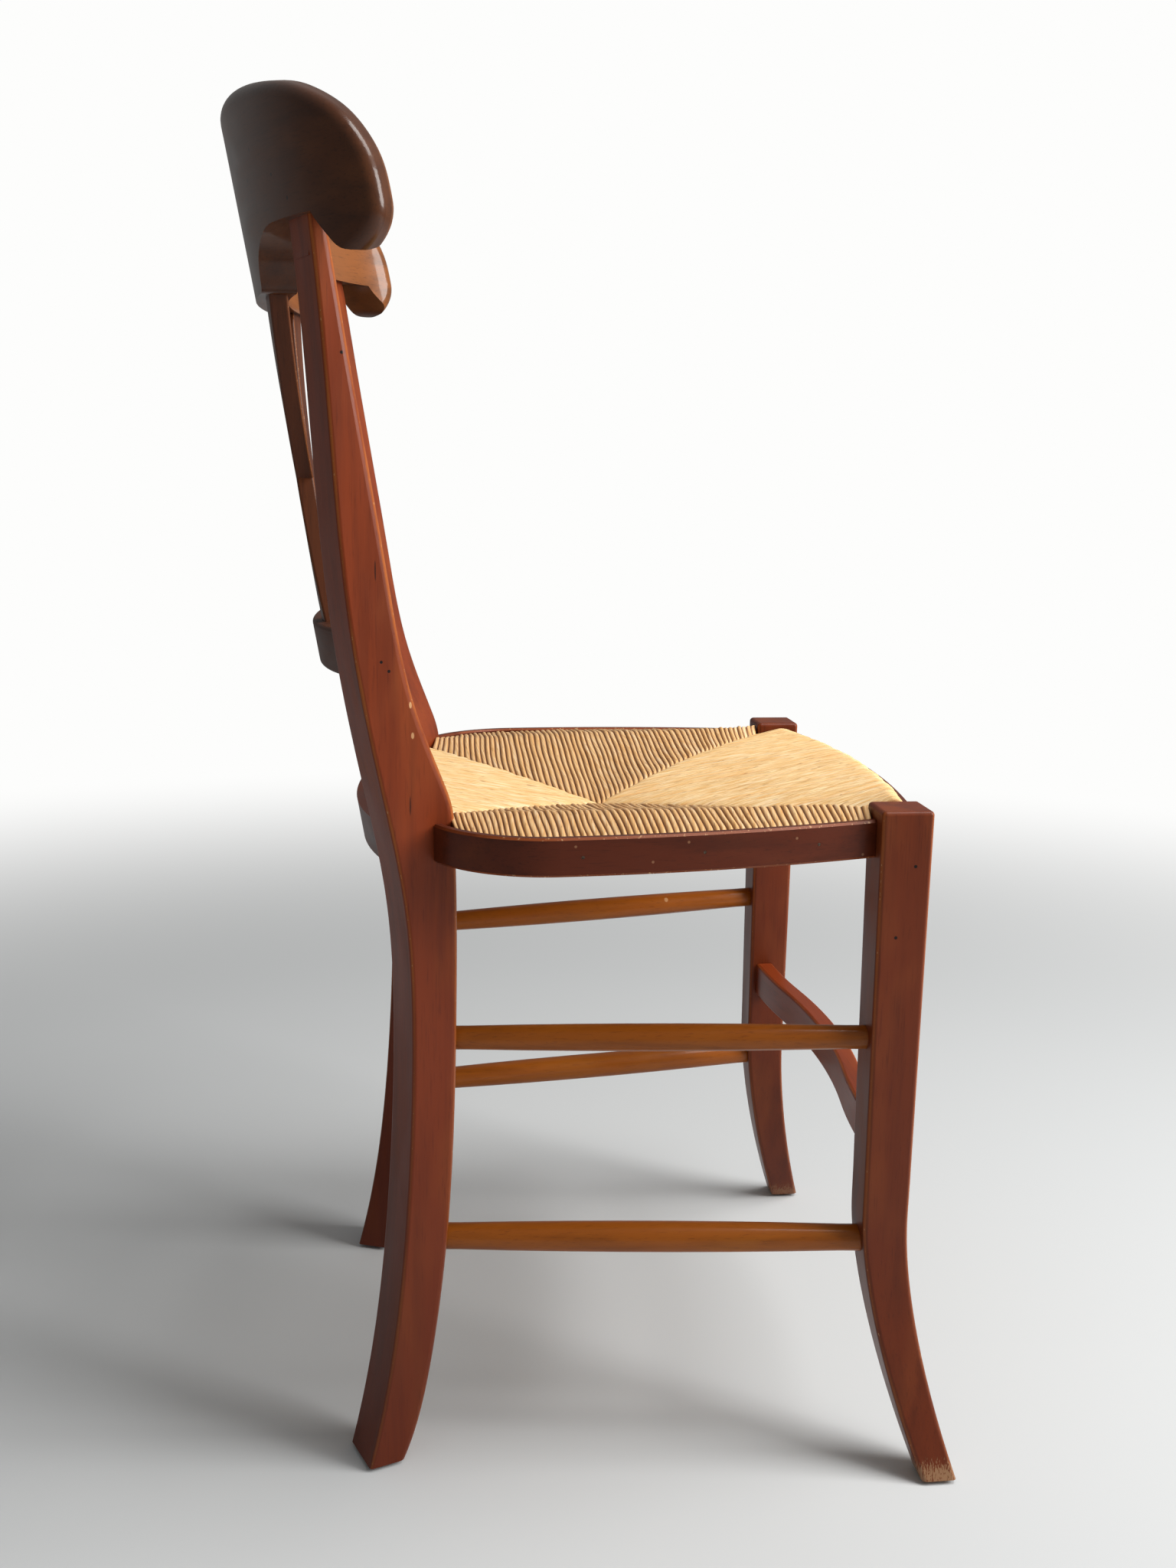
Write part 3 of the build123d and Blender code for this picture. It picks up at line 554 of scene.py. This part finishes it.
# Degrees that bring the grain to the third axis: grain upright, along the chair, across it, and with the
# slats and posts; the y of the bends' centre lines, in millimetres, and their radius, in metres
upright = (0, 0, 0)
lengthwise = (90, 0, 0)
crosswise = (0, -90, 0)
slat_slant = 29.6
post_turn = 21.0
crest_bend = -191.3
rail_bend = -233.7
bend_reach = 0.42

# Turned pieces are glossier than sawn ones, and have no arrises
turned_finish = {"roughness": 0.32, "varnish": 0.15, "edges": False}

finishes = {
    "rear_post_left": stained_beech("stained_beech_left_post", post_brown, (0, 0, post_turn), painted_foot_shade=0.6),
    "rear_post_right": stained_beech(
        "stained_beech_right_post", post_brown, (0, 0, -post_turn), painted_foot_shade=0.6, wear=post_wear
    ),
    "front_leg_left": stained_beech("stained_beech_left_leg", leg_brown, upright, painted_foot_shade=0.3, toe=0.35),
    "front_leg_right": stained_beech(
        "stained_beech_right_leg", leg_brown, upright, painted_foot_shade=0.3, toe=0.7, wear=leg_wear
    ),
    "crest_rail": stained_beech(
        "bent_beech_crest",
        crest_brown,
        upright,
        roughness=0.3,
        varnish=0.35,
        bend=crest_bend,
        wear=crest_wear,
    ),
    "lower_back_rail": stained_beech(
        "bent_beech_rail", slat_brown, upright, roughness=0.5, varnish=0.0, bend=rail_bend
    ),
    "cross_slat_left": stained_beech("stained_beech_left_slat", slat_brown, (0, -slat_slant, 0)),
    "cross_slat_right": stained_beech("stained_beech_right_slat", slat_brown, (0, slat_slant, 0)),
    "seat_strip_left": stained_beech("stained_beech_left_strip", strip_brown, lengthwise),
    "seat_strip_right": stained_beech("stained_beech_right_strip", strip_brown, lengthwise, wear=strip_wear),
    "seat_strip_front": stained_beech("stained_beech_front_strip", strip_brown, crosswise),
    "seat_strip_rear": stained_beech("stained_beech_rear_strip", strip_brown, crosswise),
    "front_stretcher": stained_beech("stained_beech_front_stretcher", post_brown, crosswise),
    "rear_stretcher": stained_beech("turned_beech_rear", honey, crosswise, **turned_finish),
    "upper_stretcher_left": stained_beech(
        "turned_beech_upper_left", honey, lengthwise, wear=stretcher_wear, **turned_finish
    ),
    "strip_nails": dulled_iron(),
    "foot_glides": moulded_polyethylene(),
}
turned_beech = stained_beech("turned_beech_sides", honey, lengthwise, **turned_finish)
for stretcher in ("upper_stretcher_right", "lower_stretcher_left", "lower_stretcher_right"):
    finishes[stretcher] = turned_beech
rail_beech = bare_beech()
for rail in ("front", "rear", "left", "right"):
    finishes[f"seat_rail_{rail}"] = rail_beech
for name, finish in finishes.items():
    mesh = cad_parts[name].data
    mesh.materials.clear()
    mesh.materials.append(finish)

rush = twisted_rush()
panels = [
    side_panel("rush_left", 1),
    side_panel("rush_right", -1),
    front_panel("rush_front"),
    rear_panel("rush_rear"),
]
for panel in panels:
    panel.data.materials.append(rush)
    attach(panel, "root")
    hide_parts("rush_seat")


# Floor, light and camera


# The pale backdrop and its share in mirrored rays, metres from the chair between which the floor turns to it,
# the direction that most soft light comes from, its strength away from that direction and along it, and the
# lamps' colour
backdrop_white = "#fdfdfc"
mirrored_share = 0.06
floor_fade = (0.9, 2.4)
soft_side = (-0.3, -0.8, 0.52)
soft_levels = (0.1, 0.34)
lamp_white = "#fffdfa"


def seen_share(tree):
    """1 for rays from the camera, and a small share for mirrored and refracted ones, so that these show some
    of the pale backdrop too."""
    ray = add(tree, "LightPath", {}, {})
    inputs = {0: ray.outputs["Is Glossy Ray"], 1: ray.outputs["Is Transmission Ray"]}
    mirrored = add(tree, "Math", {"operation": "MAXIMUM"}, inputs).outputs[0]
    some = add(tree, "Math", {"operation": "MULTIPLY"}, {0: mirrored, 1: mirrored_share}).outputs[0]
    inputs = {0: ray.outputs["Is Camera Ray"], 1: some}
    return add(tree, "Math", {"operation": "MAXIMUM"}, inputs).outputs[0]


def pale_floor():
    """Matt pale floor that keeps the shadow under the chair and turns to plain white away from it."""
    material, tree = start_material("matt_pale_floor")
    place = add(tree, "TexCoord", {}, {}).outputs["Object"]
    away = add(tree, "VectorMath", {"operation": "LENGTH"}, {0: place}).outputs["Value"]
    matt = add(tree, "BsdfDiffuse", {}, {"Color": paint("#cdd0d2")})
    white = add(tree, "Emission", {}, {"Color": paint(backdrop_white), "Strength": 1.0})
    inputs = {0: away, 1: floor_fade[0], 2: floor_fade[1], 3: 0.0, 4: 1.0}
    fade = add(tree, "MapRange", {"interpolation_type": "SMOOTHSTEP"}, inputs).outputs[0]
    share = add(tree, "Math", {"operation": "MULTIPLY"}, {0: fade, 1: seen_share(tree)}).outputs[0]
    shader = add(tree, "MixShader", {}, {0: share, 1: matt.outputs[0], 2: white.outputs[0]})
    add(tree, "OutputMaterial", {}, {0: shader.outputs[0]})
    return material


def round_floor(radius, rings, steps):
    """Flat round floor: rings of points at growing distance, closed round the circle."""
    distance = np.linspace(0.02, radius, rings)[:, None]
    angle = np.linspace(0, 2 * pi, steps, endpoint=False)[None, :]
    points = np.stack([distance * np.cos(angle), distance * np.sin(angle), 0 * distance * angle], axis=-1)
    index = np.arange(rings * steps).reshape(rings, steps)
    turned = np.roll(index, -1, axis=1)
    faces = np.stack([index[:-1], index[1:], turned[1:], turned[:-1]], axis=-1).reshape(-1, 4).tolist()
    mesh = bpy.data.meshes.new("floor")
    mesh.from_pydata(points.reshape(-1, 3).tolist(), [], faces + [index[0].tolist()])
    floor = bpy.data.objects.new("floor", mesh)
    bpy.context.scene.collection.objects.link(floor)
    mesh.materials.append(pale_floor())
    return floor


def lamp(name, place, aim, size, level, colour):
    """Square soft lamp whose power is level times pi squared times the squared distance to its aim, so that a
    surface that faces it there shows that share of its own colour."""
    data = bpy.data.lights.new(name, "AREA")
    data.size = size
    reach = Vector(aim) - Vector(place)
    data.energy = level * pi**2 * reach.length_squared
    data.color = paint(colour)[:3]
    light = bpy.data.objects.new(name, data)
    light.location = place
    light.rotation_euler = reach.to_track_quat("-Z", "Y").to_euler()
    bpy.context.scene.collection.objects.link(light)


def studio_world():
    """Soft light from all round, stronger from one side; the camera sees the plain pale backdrop, and
    mirrored and refracted rays see some of it."""
    world = bpy.data.worlds.new("studio")
    world.use_nodes = True
    tree = world.node_tree
    tree.nodes.clear()
    ahead = add(tree, "TexCoord", {}, {}).outputs["Generated"]
    inputs = {0: ahead, 1: soft_side}
    towards = add(tree, "VectorMath", {"operation": "DOT_PRODUCT"}, inputs).outputs["Value"]
    inputs = {0: towards, 1: -1.0, 2: 1.0, 3: soft_levels[0], 4: soft_levels[1]}
    level = add(tree, "MapRange", {}, inputs).outputs[0]
    soft = add(tree, "Background", {}, {"Color": paint("#fdfcfa"), "Strength": level})
    backdrop = add(tree, "Background", {}, {"Color": paint(backdrop_white), "Strength": 1.0})
    shader = add(tree, "MixShader", {}, {0: seen_share(tree), 1: soft.outputs[0], 2: backdrop.outputs[0]})
    add(tree, "OutputWorld", {}, {0: shader.outputs[0]})
    bpy.context.scene.world = world


def photo_camera():
    """Camera where the photograph was taken from, found from the photograph's own perspective: its place, how
    far it is turned and tipped, and its focal length in pixels of a 1536 by 2048 picture."""
    place = Vector((-1.16947, 0.135105, 0.67638))
    yaw, pitch, roll = -0.12496, 0.19728, -0.01543
    focal, picture_height, film = 2100.0, 2048.0, 36.0
    ahead = Vector((cos(pitch) * cos(yaw), cos(pitch) * sin(yaw), -sin(pitch)))
    right = Vector((sin(yaw), -cos(yaw), 0))
    down = ahead.cross(right)
    picture_x = right * cos(roll) + down * sin(roll)
    picture_y = right * sin(roll) - down * cos(roll)
    data = bpy.data.cameras.new("camera")
    data.sensor_width = film
    data.lens = film * focal / picture_height
    camera = bpy.data.objects.new("camera", data)
    turn = Matrix((picture_x, picture_y, -ahead)).transposed()
    camera.matrix_world = Matrix.Translation(place) @ turn.to_4x4()
    bpy.context.scene.collection.objects.link(camera)
    bpy.context.scene.camera = camera


round_floor(6.0, 24, 96)
studio_world()
lamp("front_lamp", place=(-0.8, -2.0, 1.45), aim=(0, 0, 0.5), size=1.2, level=1.1, colour=lamp_white)
lamp("top_lamp", place=(-0.3, -0.9, 2.4), aim=(0, 0, 0.45), size=1.0, level=0.6, colour=lamp_white)
photo_camera()
bpy.context.scene.view_settings.view_transform = "Standard"
